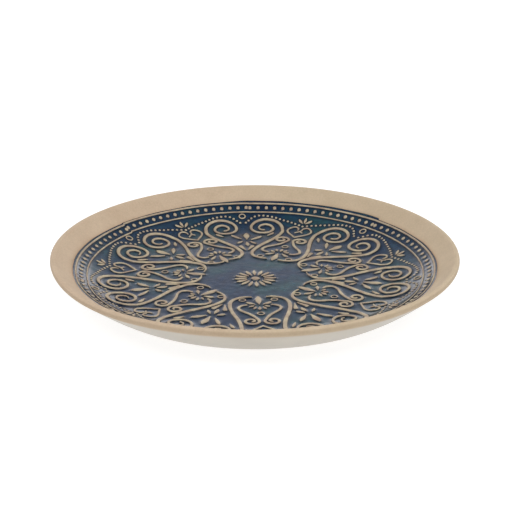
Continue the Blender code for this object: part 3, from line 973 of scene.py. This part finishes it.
for cell in range(REPEATS):
    drops = []
    end = cell_turn(cell)
    for start in (pair_turn(cell), next_pair_turn(cell)):
        hang = [round_plate(radius, start + (end - start) * degrees / HALF_CELL)
                for degrees, radius in GARLAND]
        run, _ = spaced_run(smooth_run(hang, 6), np.ones(len(GARLAND) * 6 - 5), GARLAND_PITCH)
        last = len(run) if start < end else len(run) - 1
        drops += [drop(at, GARLAND_DROP, GARLAND_HEIGHT, SMALL_FOOT) for at in run[:last]]
    lay_slip(f"garland_{cell + 1}", drops)


# Pooled glaze
# Before it set, the blue glaze ran off the trailed lines and gathered beside them, darker and
# drawn a little way up their sides.

POOL_REACH = 0.0012
CREEP_HEIGHT = 0.00028
CREEP_REACH = 0.0007

marks = KDTree(len(trail_marks))
for index, (x, y, half) in enumerate(trail_marks):
    marks.insert((x, y, 0.0), index)
marks.balance()
pool = np.zeros(len(glaze_points), np.float32)
for index, (x, y, is_top) in enumerate(glaze_points):
    if is_top:
        _, mark, distance = marks.find((x, y, 0.0))
        clear = max(0.0, distance - trail_marks[mark][2])
        pool[index] = math.exp(-clear / POOL_REACH)
glaze_piece.data.attributes["pool"].data.foreach_set("value", pool)
corners = np.zeros(len(pool) * 3, np.float32)
glaze_piece.data.vertices.foreach_get("co", corners)
corners[2::3] += CREEP_HEIGHT * pool ** (POOL_REACH / CREEP_REACH)
glaze_piece.data.vertices.foreach_set("co", corners)
glaze_piece.data.update()


# Studio
# A plain white table and horizon. The pale room above it has two bright sides, is darker high up
# and in its corners, and gives less light from the front. A large soft light stands each side.

FLOOR_REACH = 4
LAMP_SIZE = 1.2
LAMP_POWER = 16.0
LAMP_REACH = 1.1
LAMP_RISE = 1.65


floor_mesh = bpy.data.meshes.new("studio_floor")
floor_corners = [(x * FLOOR_REACH, y * FLOOR_REACH, 0)
                 for x, y in ((-1, -1), (1, -1), (1, 1), (-1, 1))]
floor_mesh.from_pydata(floor_corners, [], [(0, 1, 2, 3)])
studio_floor = bpy.data.objects.new("studio_floor", floor_mesh)
bpy.context.scene.collection.objects.link(studio_floor)
paper, tree, _ = new_finish("white_paper_table")
sheet = add_node(tree, "ShaderNodeBsdfPrincipled", {"Base Color": srgb("#A8A8A8"),
                 "Roughness": 0.9, "Emission Color": (1, 1, 1, 1), "Emission Strength": 0.80})
add_node(tree, "ShaderNodeOutputMaterial", {"Surface": sheet.outputs["BSDF"]})
studio_floor.data.materials.append(paper)



def grey(level):
    """A neutral colour for the room's light."""
    return (level, level, level, 1)


world = bpy.data.worlds.new("studio_room")
bpy.context.scene.world = world
world.use_nodes = True
tree = world.node_tree
tree.nodes.clear()
look = add_node(tree, "ShaderNodeTexCoord").outputs["Generated"]
parted = add_node(tree, "ShaderNodeSeparateXYZ", {"Vector": look})
room = add_node(tree, "ShaderNodeValToRGB", {"Fac": parted.outputs["Z"]},
                [(0.0, (0.54, 0.53, 0.54, 1)), (0.12, (0.76, 0.73, 0.73, 1)),
                 (0.24, (0.88, 0.85, 0.86, 1)), (0.31, (0.58, 0.56, 0.58, 1)),
                 (0.37, (0.315, 0.315, 0.34, 1)), (0.50, (0.24, 0.25, 0.26, 1)),
                 (0.62, (0.17, 0.18, 0.20, 1)), (0.95, (0.11, 0.13, 0.15, 1))])
sideways = add_node(tree, "ShaderNodeMath", {0: parted.outputs["X"]}, operation="ABSOLUTE")
windows = add_node(tree, "ShaderNodeValToRGB", {"Fac": sideways.outputs["Value"]},
                   [(0.0, grey(0.47)), (0.10, grey(0.51)), (0.20, grey(0.74)),
                    (0.36, grey(0.82)), (0.50, grey(1)), (0.70, grey(0.92)),
                    (0.88, grey(0.62))])
towards = add_node(tree, "ShaderNodeVectorMath", {0: look, 1: (0.35, 0.9, 0.0)},
                   operation="DOT_PRODUCT")
nearer = add_node(tree, "ShaderNodeMapRange", {"Value": towards.outputs["Value"],
                  "From Min": -0.9, "From Max": 0.3, "To Min": 0.8, "To Max": 3.15})
shaped = add_node(tree, "ShaderNodeVectorMath", {0: room.outputs["Color"],
                  1: windows.outputs["Color"]}, operation="MULTIPLY")
upper = add_node(tree, "ShaderNodeMapRange", {"Value": parted.outputs["Z"], "From Min": 0.30,
                 "From Max": 0.46})
beside = add_node(tree, "ShaderNodeMapRange", {"Value": sideways.outputs["Value"],
                  "From Min": 0.25, "From Max": 0.6, "To Max": 0.72})
corner = add_node(tree, "ShaderNodeMath", {0: upper.outputs["Result"],
                  1: beside.outputs["Result"]}, operation="MULTIPLY")
dimmed = add_node(tree, "ShaderNodeVectorMath", {0: shaped.outputs["Vector"],
                  "Scale": nearer.outputs["Result"]}, operation="SCALE")
lit = add_node(tree, "ShaderNodeMixRGB", {"Fac": corner.outputs["Value"],
               "Color1": dimmed.outputs["Vector"], "Color2": (0.02, 0.03, 0.04, 1)})
above = add_node(tree, "ShaderNodeMapRange", {"Value": parted.outputs["Z"], "From Min": 0.09,
                 "From Max": 0.13})
walls = add_node(tree, "ShaderNodeMixRGB", {"Fac": above.outputs["Result"],
                 "Color1": (1, 1, 1, 1), "Color2": lit.outputs["Color"]})
back = add_node(tree, "ShaderNodeBackground", {"Color": walls.outputs["Color"]})
add_node(tree, "ShaderNodeOutputWorld", {"Surface": back.outputs["Background"]})

for name, turn, tint in (("left_softbox", 212, (1.0, 0.97, 0.95)),
                         ("right_softbox", -32, (1.0, 0.99, 0.94))):
    lamp = bpy.data.lights.new(name, "AREA")
    lamp.shape = "RECTANGLE"
    lamp.size, lamp.size_y = LAMP_SIZE, LAMP_SIZE
    lamp.energy = LAMP_POWER
    lamp.color = tint
    box = bpy.data.objects.new(name, lamp)
    bpy.context.scene.collection.objects.link(box)
    spot = Vector((*round_plate(LAMP_REACH, turn), LAMP_RISE))
    box.location = spot
    box.rotation_euler = (-spot).to_track_quat("-Z", "Y").to_euler()

bpy.context.scene.view_settings.view_transform = "Standard"


# Camera
# A long lens, low over the near lip, so that the far lip shows whole behind the well.

CAMERA_RISE = math.radians(21.86)
CAMERA_DISTANCE = 1.0895
CAMERA_LENS = 115.3
AIM_LIFT = 0.0154
AIM_ASIDE = 0.0001

floor_top = CLAY_FLOOR + SKIN
out = Vector((0, -math.cos(CAMERA_RISE), math.sin(CAMERA_RISE)))
up = Vector((0, math.sin(CAMERA_RISE), math.cos(CAMERA_RISE)))
lens = bpy.data.cameras.new("camera")
lens.lens = CAMERA_LENS
lens.sensor_width = 36.0
camera = bpy.data.objects.new("camera", lens)
bpy.context.scene.collection.objects.link(camera)
middle = Vector((0.0, 0.0, floor_top))
camera.location = middle + out * CAMERA_DISTANCE
aim = middle + up * AIM_LIFT + Vector((AIM_ASIDE, 0.0, 0.0))
camera.rotation_euler = (aim - camera.location).to_track_quat("-Z", "Y").to_euler()
bpy.context.scene.camera = camera
